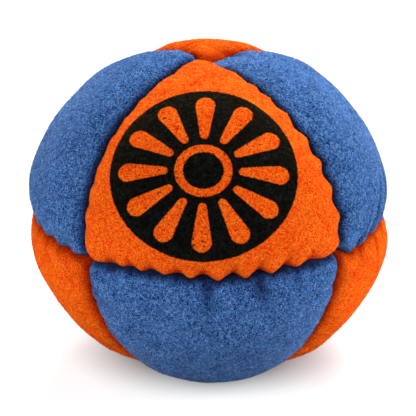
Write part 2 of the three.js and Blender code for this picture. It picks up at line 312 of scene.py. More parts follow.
seams = {}
for index, corner in enumerate(waist_corners):
    after = waist_corners[(index + 1) % 4]
    side_of_blue = -top if is_orange(index, 0) else top
    name = f"waist_{quarter_names[index]}"
    seams[name] = Seam(name, corner, after, side_of_blue, 40 + index, table_for(name, waist_table))
    for is_lower, level in enumerate(("upper", "lower")):
        # The quarter that follows this corner lies on the side of the next corner
        side_of_blue = -after if is_orange(index, is_lower) else after
        name = f"{level}_{waist_corner_names[index]}"
        pole = -top if is_lower else top
        seams[name] = Seam(name, pole, corner, side_of_blue, 60 + 4 * is_lower + index,
                           table_for(name, usual_table))
print(len(seams), "seams, the front one stitched at", seams["waist_front"].stitches.round(2))

# %% [markdown]
# ## One panel's outer face
#
# The outer face starts as three grids that meet in the middle of the panel, one for each corner.
# Such a grid has square cells nearly everywhere, which cloth and subdivision both like, and no
# pole. Towards a seam the suede rolls in over a quarter circle, so the grid is laid out along the
# cloth first and then bent down the roll. At a corner the outline is rounded, and what lies
# outside of it sinks into the dimple where four panels meet. The face starts a little low,
# because it swells when the bag is filled.

# %% Bend a panel's outer face
edge_roll = 1.5 * MM
corner_round = 2.3 * MM
seam_half_gap = 0.03 * MM
dimple_slope = 1.7
swell_room = 0.5 * MM
never_zero = 1e-12


def corner_grid(corner, left, right, steps):
    """Directions over the third of a panel nearest to one corner."""
    spread = np.tan(np.linspace(0, RIGHT_ANGLE / 2, steps + 1))
    along, across = np.meshgrid(spread, spread, indexing="ij")
    return unit(corner + along[..., None] * left + across[..., None] * right)


def roll_in(distance, thickness=0.0):
    """Lateral place and depth of cloth that lies so far from the seam before it is rolled."""
    spare = (RIGHT_ANGLE - 1) * edge_roll
    length = np.where(distance < corner_round,
                      distance * (corner_round + spare) / corner_round, distance + spare)
    turn = np.clip(length / edge_roll, 0, RIGHT_ANGLE)
    radius = edge_roll - thickness
    lateral = edge_roll - radius * np.cos(turn) + np.maximum(0, length - RIGHT_ANGLE * edge_roll)
    return lateral, edge_roll - radius * np.sin(turn)


def panel_points(directions, corners, thickness=0.0):
    """Bends directions over a panel into its outer face, or the flesh side one thickness in."""
    distances = ball_radius * np.arcsin(np.clip(directions @ np.array(corners).T, -1, 1))
    nearest = np.sort(distances, axis=1)
    near, next_near = nearest[:, 0], nearest[:, 1]
    in_corner = next_near < corner_round
    reach = np.hypot(corner_round - near, corner_round - next_near)
    inset = np.where(in_corner, corner_round - reach, near)
    lateral, depth = roll_in(np.maximum(0, inset), thickness)
    outside = np.minimum(0, inset)
    lateral = lateral + outside
    depth = depth - outside * dimple_slope
    pull = np.where(reach > 0, (corner_round - lateral) / np.maximum(reach, never_zero), 1)
    moved = distances.copy()
    for side in range(3):
        own = distances[:, side]
        in_zone = own < corner_round
        rounded = corner_round - (corner_round - own) * pull
        straight = np.where(own == near, lateral, own)
        moved[:, side] = np.where(in_zone & in_corner, rounded, np.where(in_zone, straight, own))
    shares = np.sin(moved / ball_radius)
    fixed = moved < corner_round
    fixed_square = (shares**2 * fixed).sum(axis=1)
    free_square = np.maximum((shares**2 * ~fixed).sum(axis=1), never_zero)
    stretch = np.sqrt(np.maximum(0, 1 - fixed_square) / free_square)
    shares = np.where(fixed, shares, shares * stretch[:, None])
    bent = unit(shares @ np.array(corners))
    room = swell_room * np.clip(near / edge_roll, 0, 1)
    return bent * (outer_radius(bent) - depth - room)[:, None]


print("the suede rolls in over", round(edge_roll / MM, 2), "mm")

# %% Make the eight outer faces
merge_distance = 1e-6
same_corner = 0.99
face_steps = 32


def face_mesh(name, corners, steps, thickness=0.0):
    """A mesh of a panel's face, three grids merged into one."""
    points = []
    quads = []
    for index in range(3):
        corner, left, right = (corners[(index + turn) % 3] for turn in range(3))
        grid = corner_grid(corner, left, right, steps).reshape(-1, 3)
        first = len(points) * len(grid)
        points.append(grid)
        cells = np.arange(steps * (steps + 1)).reshape(steps, steps + 1)[:, :-1].ravel() + first
        row = steps + 1
        quads.append(np.stack([cells, cells + row, cells + row + 1, cells + 1], axis=1))
    directions = np.concatenate(points)
    mesh = bpy.data.meshes.new(name)
    mesh.from_pydata(panel_points(directions, corners, thickness).tolist(), [],
                     np.concatenate(quads).tolist())
    sheet = bmesh.new()
    sheet.from_mesh(mesh)
    bmesh.ops.remove_doubles(sheet, verts=sheet.verts, dist=merge_distance)
    sheet.to_mesh(mesh)
    sheet.free()
    return mesh


def read_points(mesh):
    """The points of a mesh, one row each."""
    points = np.empty(len(mesh.vertices) * 3, dtype=np.float32)
    mesh.vertices.foreach_get("co", points)
    return points.reshape(-1, 3).astype(float)


def write_points(mesh, points):
    """Moves the points of a mesh to these places."""
    mesh.vertices.foreach_set("co", points.astype(np.float32).ravel())
    mesh.update()


def panel_seams(corners):
    """The three seams of a panel, each with its inward direction."""
    found = []
    for index in range(3):
        ends = [corners[(index + 1) % 3], corners[(index + 2) % 3]]
        for seam in seams.values():
            if all(max(end @ seam.start, end @ seam.end) > same_corner for end in ends):
                found.append((seam, corners[index]))
    return found


panels = {}
for is_lower, level in enumerate(("upper", "lower")):
    for index, corner in enumerate(waist_corners):
        after = waist_corners[(index + 1) % 4]
        corners = [-top, after, corner] if is_lower else [top, corner, after]
        panels[f"{level}_{quarter_names[index]}_panel"] = {
            "corners": corners,
            "colour": "orange" if is_orange(index, is_lower) else "blue",
            "seams": panel_seams(corners),
        }
for name, panel in panels.items():
    panel["mesh"] = face_mesh(name, panel["corners"], face_steps)
    print(name, panel["colour"], len(panel["mesh"].vertices), "points,",
          [seam.name for seam, _ in panel["seams"]])

# %% [markdown]
# ## Filling the bag
#
# Real suede takes its shape from the pellets that push on it and the thread that holds it. Cloth
# simulation does the same: the rim of every panel is pinned, each stitch holds a spot a little
# way in, and pressure pushes the rest out, so that the suede swells between the stitches and
# creases at them by itself. The bag is simulated at twenty times its size, where the solver is
# at ease, and no point may move further than a set cap.

# %% Hold the suede at its stitches
rim_pin = 0.7 * MM
rim_free = 1.8 * MM
stitch_hold = 1.2 * MM
stitch_spot = 0.5 * MM
stitch_grip = 0.9


def hold_weights(points, panel):
    """How firmly each point is held: fully at the rim, and in a spot at each stitch."""
    held = np.zeros(len(points))
    pull = np.zeros(len(points))
    for seam, inward in panel["seams"]:
        aside = points @ inward
        held = np.maximum(held, np.clip((rim_free - aside) / (rim_free - rim_pin), 0, 1))
        turns = seam.along(points)
        for stitch in seam.stitches[1:-1]:
            away = np.hypot((turns - stitch) * stitch_pitch, aside - stitch_hold)
            spot = np.exp(-((away / stitch_spot) ** 2))
            held = np.maximum(held, stitch_grip * spot * seam.fullness)
            pull = np.maximum(pull, spot * seam.fullness)
    return held, pull


print("each stitch holds a spot", round(2 * stitch_spot / MM, 2), "mm across")

# %% Simulate the suede over its fill
sim_scale = 20
sim_frames = 20
stitch_pull = 0.3 * MM
swell_cap = 0.9 * MM
cloth_values = {
    "quality": 6, "mass": 0.3, "tension_stiffness": 12, "compression_stiffness": 12,
    "shear_stiffness": 4, "bending_stiffness": 1.5, "vertex_group_mass": "held",
    "shrink_min": -0.03, "use_pressure": True, "uniform_pressure_force": 6,
}


def start_cloth(name, panel):
    """An enlarged copy of the face with Cloth on it, drawn in at the stitches."""
    points = read_points(panel["mesh"])
    held, pull = hold_weights(points, panel)
    drawn_in = points - unit(points) * (pull * stitch_pull)[:, None]
    mesh = panel["mesh"].copy()
    write_points(mesh, drawn_in * sim_scale)
    piece = add_object(name + "_cloth", mesh)
    group = piece.vertex_groups.new(name="held")
    for index, weight in enumerate(held):
        group.add([index], float(weight), "REPLACE")
    cloth = piece.modifiers.new("suede", "CLOTH")
    for label, value in cloth_values.items():
        setattr(cloth.settings, label, value)
    cloth.settings.effector_weights.gravity = 0
    cloth.collision_settings.use_collision = False
    cloth.point_cache.frame_start = 1
    cloth.point_cache.frame_end = sim_frames
    return piece, points


def finish_cloth(piece, start_points, panel):
    """Writes the swollen face back, capped and kept on its own side of the seams."""
    swollen = piece.evaluated_get(bpy.context.evaluated_depsgraph_get())
    moved = read_points(swollen.data) / sim_scale - start_points
    length = np.linalg.norm(moved, axis=1)
    cap = np.minimum(1, swell_cap / np.maximum(length, never_zero))
    points = start_points + moved * cap[:, None]
    for _, inward in panel["seams"]:
        aside = points @ inward
        points += np.maximum(0, seam_half_gap - aside)[:, None] * inward
    write_points(panel["mesh"], points)
    old_mesh = piece.data
    bpy.data.objects.remove(piece)
    bpy.data.meshes.remove(old_mesh)
    return length


cloths = {name: start_cloth(name, panel) for name, panel in panels.items()}
for frame_number in range(1, sim_frames + 1):
    bpy.context.scene.frame_set(frame_number)
for name, (piece, start_points) in cloths.items():
    length = finish_cloth(piece, start_points, panels[name])
    print(name, "moved", (np.percentile(length, [50, 90, 100]) / MM).round(2), "mm")
bpy.context.scene.frame_set(1)

# %% [markdown]
# ## Puckers and lumps
#
# The simulated face is subdivided twice and then worked over further. Every stitch
# draws a crease with its own depth and length, and a few long folds are placed where the
# photograph shows them. Then space itself is warped, the same way for both panels of a seam, so
# that neither cuts into the other: each seam swings by the laps and the bow of its table, the
# corners are drawn aside, and the fill heaps up in places or leaves room. Last, the whole face
# is roughened by soft noise, because napped suede over pellets is nowhere as smooth as a ball.
# How much painted shade each point gets down in a seam, fold or notch is kept for the colour.

# %% Place drifts, heaps and long folds
# The bag's corners that sit off the middle, with how far and how widely
corner_drifts = [
    (top, np.array([-1.3, 0.1, 0.0]) * MM, 6.5 * MM),
    (unit(np.array([0.12, 0.0, 1.0])), np.array([0.3, -2.7, -0.8]) * MM, 3.0 * MM),
    (waist_corners[0], np.array([0.0, 0.0, -0.5]) * MM, 3.5 * MM),
    (waist_corners[1], np.array([0.35, 0.35, 0.3]) * MM, 3.5 * MM),
]

# Where the fill has heaped up or left room: a direction, how far out and how widely
heaps = [
    ((-1.0, 0.0, 0.03), 0.5 * MM, 8 * MM),
    ((0.98, -0.06, -0.17), 0.7 * MM, 8 * MM),
    ((0.55, -0.32, -0.77), 0.5 * MM, 9 * MM),
    ((0.22, -0.4, -0.89), 0.35 * MM, 7 * MM),
    ((-0.86, -0.2, -0.48), -0.3 * MM, 10 * MM),
    ((0.38, 0.35, 0.86), 0.4 * MM, 6 * MM),
    ((-0.39, 0.35, 0.85), 0.2 * MM, 6 * MM),
    ((0.1, 0.98, 0.2), 0.3 * MM, 11 * MM),
    ((0.5, 0.75, -0.4), -0.3 * MM, 9 * MM),
]

# Seam, colour of the side, how wide its folds are for their length, then each fold's place in
# stitches, depth and length in millimetres, and how many stitches it slants on its way out
long_folds = [
    ("waist_front", "blue", 0.27, [(4.75, 0.55, 4.2, 0.1), (6.5, 0.58, 4.4, 0.3),
                                   (7.95, 0.35, 3.4, 0.1)]),
    ("waist_front", "orange", 0.19, [(5.69, 0.2, 2.0, 0.1), (6.6, 0.3, 2.2, 0.1),
                                     (7.6, 0.22, 2.2, 0.0)]),
    ("waist_right", "blue", 0.11, [(1.0, 0.4, 4.6, 0.8), (1.9, 0.6, 6.4, 1.1),
                                   (2.8, 0.62, 7.2, 1.3), (3.7, 0.6, 7.2, 1.4),
                                   (4.7, 0.5, 6.2, 1.2), (5.8, 0.36, 5.0, 1.0)]),
    ("waist_right", "orange", 0.1, [(1.6, 0.18, 4.5, 0.1), (2.6, 0.26, 6.0, 0.1),
                                    (3.6, 0.22, 6.0, 0.0), (4.6, 0.2, 4.5, 0.0)]),
    ("waist_left", "orange", 0.17, [(4.8, 0.2, 2.2, 0.0), (5.7, 0.25, 2.6, 0.1),
                                    (6.6, 0.28, 2.4, 0.1), (7.6, 0.28, 2.6, 0.0),
                                    (8.5, 0.25, 2.2, 0.1)]),
    ("waist_left", "blue", 0.17, [(5.2, 0.2, 2.2, 0.0), (7.2, 0.22, 2.4, 0.1)]),
    ("upper_back_left", "orange", 0.2, [(1.0, 0.5, 3.4, -0.2), (1.7, 0.75, 4.6, -0.4),
                                        (2.5, 0.7, 4.4, -0.3), (3.3, 0.5, 3.2, 0.0)]),
    ("upper_back_right", "orange", 0.2, [(1.1, 0.5, 3.2, -0.2), (1.9, 0.6, 3.8, -0.1),
                                         (2.8, 0.5, 3.4, -0.1), (3.6, 0.4, 3.0, 0.0)]),
    ("lower_front_left", "orange", 0.17, [(5.2, 0.26, 3.0, 0.0), (6.3, 0.2, 2.4, 0.1),
                                          (7.3, 0.32, 3.0, 0.0)]),
    ("lower_front_right", "orange", 0.17, [(6.0, 0.2, 2.6, 0.0), (7.1, 0.25, 2.6, 0.0)]),
]
print("long folds:", sum(len(folds) for *_, folds in long_folds), "beside",
      len({seam_name for seam_name, *_ in long_folds}), "seams")

# %% Pucker a face
puff_height = 0.22 * MM
puff_reach = 1.3 * MM
puff_level = 0.4
bank_height = 0.35
bank_spread = 2.2
# Painted shade in folds and notches: a fold of this depth gets the whole of its colour's fold shade
crease_full = 0.5 * MM
notch_shade_reach = 1.15 * MM
fold_shade = {"orange": 0.7, "blue": 0.85}


def folds_of(seam, colour):
    """Place, depth, length, width and slant of every fold on one side of a seam."""
    found = list(zip(*(values[1:-1] for values in seam.creases[colour])))
    for seam_name, side, slimness, folds in long_folds:
        if (seam_name, side) == (seam.name, colour):
            found += [(place, depth * MM, length * MM, length * MM * slimness, slant)
                      for place, depth, length, slant in folds]
    return found


def pucker(points, panel):
    """Raises the puffs, sinks the folds of all three seams and gives each point its painted fold
    shade.
    """
    rise = np.zeros(len(points))
    painted_fold_shade = np.zeros(len(points))
    for seam, inward in panel["seams"]:
        aside = np.maximum(0, points @ inward)
        turns = seam.along(points)
        ends = np.clip(np.minimum(turns, lobes_per_seam - turns), 0, 1)
        puff = seam.puff(turns)
        height = puff_height * seam.fullness * ends
        rise += height * (puff - puff_level) * np.exp(-((aside / puff_reach) ** 2))
        # Painted shade in the rounded notch at each stitch: it darkens the colour and leaves the
        # shape
        sunk = seam.notch * ends * (1 - puff) ** 2 * np.exp(-((aside / notch_shade_reach) ** 2))
        painted_fold_shade = np.maximum(painted_fold_shade, sunk)
        for place, depth, length, width, slant in folds_of(seam, panel["colour"]):
            across = (turns - place - slant * aside / length) * stitch_pitch
            trough = np.exp(-((across / width) ** 2) - (aside / length) ** 2)
            banks = np.exp(-((across / (bank_spread * width)) ** 2) - (aside / length) ** 2)
            rise -= depth * ((1 + bank_height) * trough - bank_height * banks)
            painted_fold_shade = np.maximum(painted_fold_shade, trough * depth / crease_full)
    return points + unit(points) * rise[:, None], painted_fold_shade


def painted_valley_shade(points, panel, painted_fold_shade):
    """How much painted shade each point gets: 0 on the crown up to 1 down in a seam, folds counted
    in.
    """
    seam_shade_amount = np.zeros(len(points))
    for seam, inward in panel["seams"]:
        aside = np.maximum(0, points @ inward) / seam.reach[panel["colour"]]
        seam_shade_amount = np.maximum(seam_shade_amount, seam.shade * np.exp(-(aside**2)))
    return np.clip(seam_shade_amount + fold_shade[panel["colour"]] * painted_fold_shade * (1 - seam_shade_amount), 0, 1)


print("a puff rises by up to", round(puff_height * (1 - puff_level) / MM, 2), "mm")

# %% Swing the seams and roughen the face
lap_reach = 2.4 * MM
bow_reach = 7.0 * MM
nap_relief = 0.03 * MM
nap_size = 0.55 * MM
fine_relief = 0.7
fine_size = 0.45
lump_relief = 0.16 * MM
lump_size = 5.0 * MM
lump_shift = 0.1


def round_hill(points, direction, reach):
    """1 where the direction leaves the ball, and fading away from there over the reach."""
    away = ball_radius * np.arccos(np.clip(unit(points) @ direction, -1, 1))
    return np.exp(-((away / reach) ** 2))[:, None]


def lap_over(points):
    """Swings the seams with all that lies beside them, the same way for every panel."""
    shift = np.zeros_like(points)
    for seam in seams.values():
        aside = points @ seam.toward_blue
        turns = seam.along(points)
        amount = seam.lap(turns) * np.exp(-((aside / lap_reach) ** 2))
        amount += seam.bow(turns) * np.exp(-((aside / bow_reach) ** 2))
        shift += amount[:, None] * seam.toward_blue
    for corner, drift, reach in corner_drifts:
        shift += round_hill(points, corner, reach) * drift
    for direction, height, reach in heaps:
        shift += unit(points) * (height * round_hill(points, unit(np.array(direction)), reach))
    return points + shift


def roughen(points, seed_shift):
    """Adds the lumps of the fill and the unevenness of the nap."""
    directions = unit(points)
    rise = np.empty(len(points))
    for index, point in enumerate(points):
        place = Vector(point) + Vector((seed_shift, 0, 0))
        rise[index] = (lump_relief * noise.noise(place / lump_size)
                       + nap_relief * noise.noise(place / nap_size)
                       + nap_relief * fine_relief * noise.noise(place / (nap_size * fine_size)))
    return points + directions * rise[:, None]


print("the front seam bows by up to", (np.abs(seams["waist_front"].bows[1]).max() / MM).round(2),
      "mm")

# %% [markdown]
# ## Closing a panel
#
# Each panel ends as one closed skin, as thick as real suede: the fine outer face, the seam
# allowance that hangs inside the bag, and a coarser flesh side. The two rims have different
# counts of points, so they are zipped together step by step.

# %% Subdivide a face and zip its rims
suede_thickness = 0.9 * MM
hem_depth = 5.0 * MM
rim_lean = 0.2


def applied_mesh(piece):
    """A plain mesh of the object as its modifiers leave it; the object itself goes."""
    mesh = bpy.data.meshes.new_from_object(
        piece.evaluated_get(bpy.context.evaluated_depsgraph_get()))
    bpy.data.objects.remove(piece)
    return mesh


def subdivide(mesh, levels):
    """The mesh after so many levels of subdivision."""
    piece = add_object("face", mesh)
    surface = piece.modifiers.new("smooth", "SUBSURF")
    surface.levels = levels
    surface.render_levels = levels
    surface.boundary_smooth = "PRESERVE_CORNERS"
    return applied_mesh(piece)


def rim_loop(sheet, corners):
    """The boundary points of a face in order, starting at its first corner."""
    start = max((vert for vert in sheet.verts if vert.is_boundary),
                key=lambda vert: unit(np.array(vert.co)) @ corners[0])
    loop = [start]
    toward = unit(corners[0] + rim_lean * corners[1])
    while True:
        here = loop[-1]
        ahead = [edge.other_vert(here) for edge in here.link_edges if edge.is_boundary]
        ahead = [vert for vert in ahead if len(loop) < 2 or vert is not loop[-2]]
        ahead.sort(key=lambda vert: -(unit(np.array(vert.co)) @ toward))
        if ahead[0] is start:
            return loop
        loop.append(ahead[0])


def zip_rims(sheet, outer, inner):
    """Joins two closed rims that start side by side."""
    a = 0
    b = 0
    while a < len(outer) or b < len(inner):
        here = outer[a % len(outer)]
        there = inner[b % len(inner)]
        if (a + 1) * len(inner) <= (b + 1) * len(outer):
            a += 1
            sheet.faces.new((there, outer[a % len(outer)], here))
        else:
            b += 1
            sheet.faces.new((there, inner[b % len(inner)], here))


def hem_points(loop_points, panel, lateral):
    """The free edge of the allowance under a rim."""
    directions = unit(loop_points)
    hem = directions * (outer_radius(directions) - hem_depth)[:, None]
    for _, inward in panel["seams"]:
        aside = hem @ inward
        hem += np.maximum(0, lateral - aside)[:, None] * inward
    return hem


def write_valley_shade(mesh, depths):
    """Keeps the painted valley shade of every point of a mesh, where a material can read it."""
    values = depths.astype(np.float32)
    mesh.attributes.new("valley_shade", "FLOAT", "POINT").data.foreach_set("value", values)


print("suede", round(suede_thickness / MM, 2), "mm thick, with an allowance",
      round(hem_depth / MM, 2), "mm deep")

# %% Subdivide, shape and close every panel
flesh_steps = 12
face_levels = 2
hem_stride = 4


def close_panel(name, panel):
    """The whole skin of a panel: outer face, allowance and flesh side."""
    corners = panel["corners"]
    sheet = bmesh.new()
    sheet.from_mesh(panel["mesh"])
    outer_rim = rim_loop(sheet, corners)
    flesh = face_mesh(name + "_flesh", corners, flesh_steps, suede_thickness)
    back = bmesh.new()
    back.from_mesh(flesh)
    back_rim = [vert.index for vert in rim_loop(back, corners)]
    back.free()
    first = len(sheet.verts)
    back_points = lap_over(read_points(flesh))
    back_verts = [sheet.verts.new(point) for point in back_points]
    for polygon in flesh.polygons:
        sheet.faces.new([back_verts[index] for index in reversed(polygon.vertices)])
    inner_rim = [back_verts[index] for index in back_rim]
    outer_hem = [sheet.verts.new(point) for point in
                 hem_points(np.array([vert.co for vert in outer_rim[::hem_stride]]), panel,
                            seam_half_gap)]
    inner_hem = [sheet.verts.new(point) for point in
                 hem_points(np.array([vert.co for vert in inner_rim]), panel, suede_thickness)]
    zip_rims(sheet, outer_rim, outer_hem)
    zip_rims(sheet, outer_hem, inner_hem)
    zip_rims(sheet, inner_hem, inner_rim)
    sheet.verts.ensure_lookup_table()
    points = settle(np.array([vert.co for vert in sheet.verts]))
    for vert, point in zip(sheet.verts, points):
        vert.co = point
    open_edges = sum(1 for edge in sheet.edges if not edge.is_manifold)
    mesh = bpy.data.meshes.new(name + "_suede")
    sheet.to_mesh(mesh)
    sheet.free()
    mesh.shade_smooth()
    write_valley_shade(mesh, np.append(panel["valley_shade"], np.ones(len(mesh.vertices) - first)))
    print(name, len(mesh.polygons), "faces,", first, "face points,", open_edges, "open edges")
    return mesh


for number, (name, panel) in enumerate(panels.items()):
    panel["mesh"] = subdivide(panel["mesh"], face_levels)
    points = read_points(panel["mesh"])
    points, painted_fold_shade = pucker(points, panel)
    panel["valley_shade"] = painted_valley_shade(points, panel, painted_fold_shade)
    points = roughen(lap_over(points), number * lump_shift)
    write_points(panel["mesh"], points)
    panel["piece"] = add_object(name + "_suede", close_panel(name, panel))
    write_points(panel["mesh"], settle(read_points(panel["mesh"])))
    write_valley_shade(panel["mesh"], panel["valley_shade"])

# %% [markdown]
# ## Napped suede
#
# The suede of a footbag is a felt of very fine fibres, brushed up into a short nap. Seen close, it
# is a tangle of short curly hairs: light where they lie over, dark in the pits between them. An
# image of real suede would show that, but it would tie the material to one layout. So a node
# group builds the tangle from noise: folded noise gives the curly hairs, plain noise the pits and
# the cloudy drift of a brushed surface. Sheen on the shader itself gives the pale bloom at
# glancing angles.

# %% Helpers for node trees
def new_group(name, inputs, outputs):
    """A shader node group with float or colour sockets."""
    tree = bpy.data.node_groups.new(name, "ShaderNodeTree")
    for label, kind, value in inputs:
        socket = tree.interface.new_socket(label, in_out="INPUT", socket_type="NodeSocket" + kind)
        socket.default_value = value
    for label, kind in outputs:
        tree.interface.new_socket(label, in_out="OUTPUT", socket_type="NodeSocket" + kind)
    return tree, tree.nodes.new("NodeGroupInput"), tree.nodes.new("NodeGroupOutput")


class Maths:
    """Shorthand for the nodes of one tree; a value may be a number, a colour or a socket."""

    def __init__(self, tree):
        self.tree = tree

    def link(self, value, socket):
        """Links a socket to the value, or sets it to it where it is a number or colour."""
        if isinstance(value, bpy.types.NodeSocket):
            self.tree.links.new(value, socket)
        else:
            socket.default_value = value

    def node(self, kind, **settings):
        made = self.tree.nodes.new(kind)
        for name, value in settings.items():
            setattr(made, name, value)
        return made

    def do(self, operation, *values, clamp=False):
        made = self.node("ShaderNodeMath", operation=operation, use_clamp=clamp)
        for value, socket in zip(values, made.inputs):
            self.link(value, socket)
        return made.outputs[0]

    def mix(self, factor, low, high):
        made = self.node("ShaderNodeMixRGB")
        for value, socket in zip((factor, low, high), made.inputs):
            self.link(value, socket)
        return made.outputs["Color"]

    def length(self, across, upward):
        """The length of a step to the side and up."""
        squares = [self.do("MULTIPLY", part, part) for part in (across, upward)]
        return self.do("SQRT", self.do("ADD", *squares))

    def smooth(self, value, low, high):
        """0 up to low, 1 from high on, and an even slope between them."""
        made = self.node("ShaderNodeMapRange", interpolation_type="SMOOTHSTEP")
        self.link(value, made.inputs["Value"])
        self.link(low, made.inputs["From Min"])
        self.link(high, made.inputs["From Max"])
        return made.outputs["Result"]

    def noise(self, place, size, detail=2.0, distortion=0.0, roughness=0.5):
        """Soft noise from 0 to 1 in cells of about that size."""
        made = self.node("ShaderNodeTexNoise")
        self.link(place, made.inputs["Vector"])
        self.link(1 / size, made.inputs["Scale"])
        self.link(detail, made.inputs["Detail"])
        self.link(distortion, made.inputs["Distortion"])
        self.link(roughness, made.inputs["Roughness"])
        return made.outputs["Fac"]

    def bump(self, shader, height, distance, strength=1.0, **settings):
        """Lets a height that changes over the surface tilt the shader's normal."""
        made = self.node("ShaderNodeBump", **settings)
        self.link(strength, made.inputs["Strength"])
        self.link(distance, made.inputs["Distance"])
        self.link(height, made.inputs["Height"])
        self.link(made.outputs["Normal"], shader.inputs["Normal"])


def place_on_object(maths):
    """Where a point lies on its object, in metres."""
    return maths.node("ShaderNodeTexCoord").outputs["Object"]

# %% Build the nap group
hair_spacing = 0.7 * MM
grain_size = 0.21 * MM
clump_size = 0.75 * MM
drift_size = 3.0 * MM
hair_curl = 1.8
hair_width = 0.05
hair_breaks = (0.45, 0.6)
break_spacing = 1.1 * hair_spacing
hair_height = 0.4
grain_curl = 0.3
grain_roughness = 0.6
clump_curl = 1.0
clump_height = 0.9
drift_curl = 0.5


def make_nap_group():
    """Curly hairs, pits and drift, as a shade from 0 to 1 and as a height."""
    tree, inlet, outlet = new_group(
        "nap",
        [("Hair", "Float", 0.5), ("Grain", "Float", 0.5), ("Clumps", "Float", 0.5),
         ("Drift", "Float", 0.3), ("Level", "Float", 0.5)],
        [("Shade", "Float"), ("Height", "Float")],
    )
    maths = Maths(tree)
    place = place_on_object(maths)
    curl = maths.noise(place, hair_spacing, detail=1.0, distortion=hair_curl)
    fold = maths.do("ABSOLUTE", maths.do("SUBTRACT", curl, 0.5))
    broken = maths.smooth(maths.noise(place, break_spacing, detail=0.0), *hair_breaks)
    hairs = maths.do("SUBTRACT", 1.0, maths.smooth(fold, 0.0, hair_width))
    hairs = maths.do("MULTIPLY", hairs, broken)
    grain = maths.noise(place, grain_size, detail=1.0, distortion=grain_curl,
                        roughness=grain_roughness)
    clumps = maths.noise(place, clump_size, detail=1.0, distortion=clump_curl)
    drift = maths.noise(place, drift_size, detail=3.0, distortion=drift_curl)
    shade = inlet.outputs["Level"]
    for value, label in ((grain, "Grain"), (clumps, "Clumps"), (drift, "Drift")):
        centred = maths.do("SUBTRACT", value, 0.5)
        shade = maths.do("MULTIPLY_ADD", centred, inlet.outputs[label], shade)
    shade = maths.do("MULTIPLY_ADD", hairs, inlet.outputs["Hair"], shade)
    height = maths.do("MULTIPLY_ADD", clumps, clump_height, grain)
    height = maths.do("MULTIPLY_ADD", hairs, hair_height, height)
    clamped = maths.do("MAXIMUM", maths.do("MINIMUM", shade, 1.0), 0.0)
    tree.links.new(clamped, outlet.inputs["Shade"])
    tree.links.new(height, outlet.inputs["Height"])
    return tree


nap_group = make_nap_group()
print("nap group:", len(nap_group.nodes), "nodes")

# %% [markdown]
# ## The print
#
# The upper front panel carries a round print in black ink, with the bare suede showing through
# where the pattern is left out. The pattern here is a plain sunburst. It could be a painted
# image, but distances worked out in nodes keep its edges sharp at any size. The ink is projected
# straight on, as a press would put it, along the line through the middle of the print.

# %% Build the print group
print_azimuth = math.radians(-3.0)
print_elevation = math.radians(34.0)
print_offset = -0.4 * MM
print_half_width = 13.5 * MM
print_half_height = 12.6 * MM
ray_count = 12
ray_inner = 0.42
ray_outer = 0.80
ray_inner_half = 0.045
ray_outer_half = 0.105
ring_middle = 0.26
ring_half = 0.045
ink_edge = 0.007
bleed_size = 0.35 * MM
bleed_width = 0.02
speck_size = 0.55 * MM
speck_limits = (0.66, 0.7)
speck_strength = 0.8


def print_turn():
    """The turn of the print: its own Z comes straight out of the ball and its Y points up."""
    outward = outward_at(print_azimuth, print_elevation)
    right = Vector((math.cos(print_azimuth), math.sin(print_azimuth), 0))
    upward = outward.cross(right)
    return Matrix((right, upward, outward)).transposed().to_euler()


def make_print_group():
    """Where the ink lies, from 0 to 1."""
    tree, _, outlet = new_group("sunburst", [], [("Ink", "Float")])
    maths = Maths(tree)
    place = place_on_object(maths)
    facing = maths.node("ShaderNodeMapping", vector_type="TEXTURE")
    maths.link(place, facing.inputs["Vector"])
    facing.inputs["Location"].default_value = (print_offset, 0, rest_depth)
    facing.inputs["Rotation"].default_value = print_turn()
    facing.inputs["Scale"].default_value = (print_half_width, print_half_height, print_half_width)
    parts = maths.node("ShaderNodeSeparateXYZ")
    maths.link(facing.outputs["Vector"], parts.inputs["Vector"])
    across, upward, outward = parts.outputs
    bleed = maths.noise(place, bleed_size, detail=2.0)
    bleed = maths.do("MULTIPLY", maths.do("SUBTRACT", bleed, 0.5), bleed_width)
    reach = maths.length(across, upward)
    turn = maths.do("DIVIDE", maths.do("ARCTAN2", across, upward), math.tau / ray_count)
    turn = maths.do("SUBTRACT", maths.do("FRACT", maths.do("ADD", turn, 0.5)), 0.5)
    turn = maths.do("MULTIPLY", turn, math.tau / ray_count)
    ray_across = maths.do("MULTIPLY", reach, maths.do("SINE", turn))
    ray_along = maths.do("MULTIPLY", reach, maths.do("COSINE", turn))
    nearest = maths.do("MINIMUM", maths.do("MAXIMUM", ray_along, ray_inner), ray_outer)
    share = maths.do("DIVIDE", maths.do("SUBTRACT", nearest, ray_inner), ray_outer - ray_inner)
    half = maths.do("MULTIPLY_ADD", share, ray_outer_half - ray_inner_half, ray_inner_half)
    beyond = maths.do("SUBTRACT", ray_along, nearest)
    to_ray = maths.do("SUBTRACT", maths.length(beyond, ray_across), half)
    to_ring = maths.do("SUBTRACT",
                       maths.do("ABSOLUTE", maths.do("SUBTRACT", reach, ring_middle)), ring_half)
    to_bare = maths.do("MINIMUM", to_ray, to_ring)
    inside = maths.do("SUBTRACT", 1.0, reach)
    to_edge = maths.do("ADD", maths.do("MINIMUM", to_bare, inside), bleed)
    ink = maths.smooth(to_edge, -ink_edge, ink_edge)
    specks = maths.smooth(maths.noise(place, speck_size, detail=1.0), *speck_limits)
    specks = maths.do("MULTIPLY", specks, maths.do("GREATER_THAN", inside, 0.0))
    ink = maths.do("MAXIMUM", ink, maths.do("MULTIPLY", specks, speck_strength))
    ink = maths.do("MULTIPLY", ink, maths.do("GREATER_THAN", outward, 0.0))
    tree.links.new(ink, outlet.inputs["Ink"])
    return tree


print_group = make_print_group()
print("print group:", len(print_group.nodes), "nodes")

